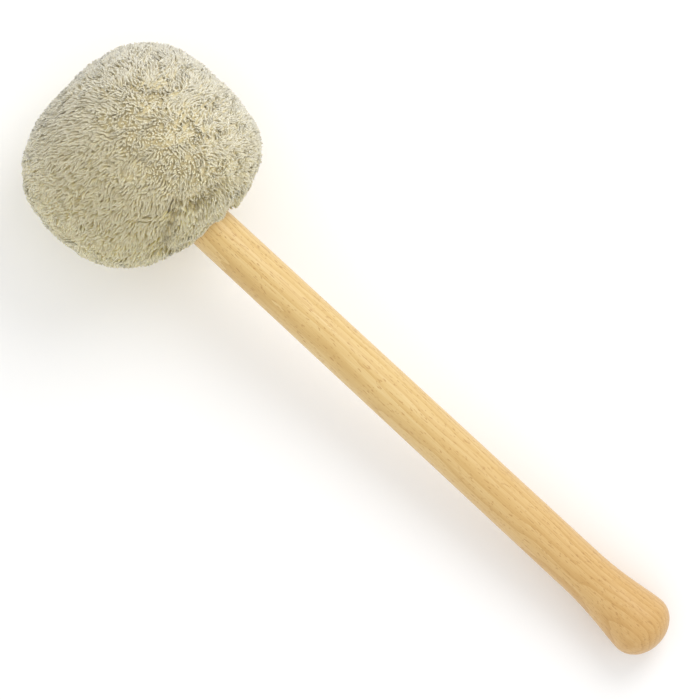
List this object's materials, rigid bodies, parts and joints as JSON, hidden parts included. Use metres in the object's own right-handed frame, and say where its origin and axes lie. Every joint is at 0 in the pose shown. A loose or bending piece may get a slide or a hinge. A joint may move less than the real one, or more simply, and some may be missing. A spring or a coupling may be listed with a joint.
{
  "type": "gong mallet",
  "caption": "Large gong mallet with a turned beech handle, a domed knob at its end and a soft drum-shaped head covered in cream fleece.",
  "frame": {"origin": "centre of the mallet's bounding box at floor level, where it lies on its side", "axes": "+X along the mallet from the head towards the knob, -Z down, out of the flat that the head rests on"},
  "size_m": [0.3984, 0.1088, 0.1089],
  "materials": {
    "lacquered_beech": "honey-coloured beech under a thin satin lacquer",
    "plain_beech": "unfinished turned beech",
    "zinc_plated_steel": "zinc-plated steel",
    "wool_felt": "hard grey-white wool felt",
    "wool_wadding": "soft off-white wool wadding",
    "wool_fleece": "long-pile cream fleece",
    "waxed_cord": "waxed linen cord"
  },
  "bodies": {
    "root": {"handle": "lacquered_beech", "core": "plain_beech", "core_washer": "zinc_plated_steel", "core_screw": "zinc_plated_steel", "felt_winding": "wool_felt", "neck_felt_disc": "wool_felt", "crown_felt_disc": "wool_felt", "wadding": "wool_wadding", "fleece_cover": "wool_fleece", "neck_binding": "waxed_cord", "crown_binding": "waxed_cord"}
  },
  "joints": []
}
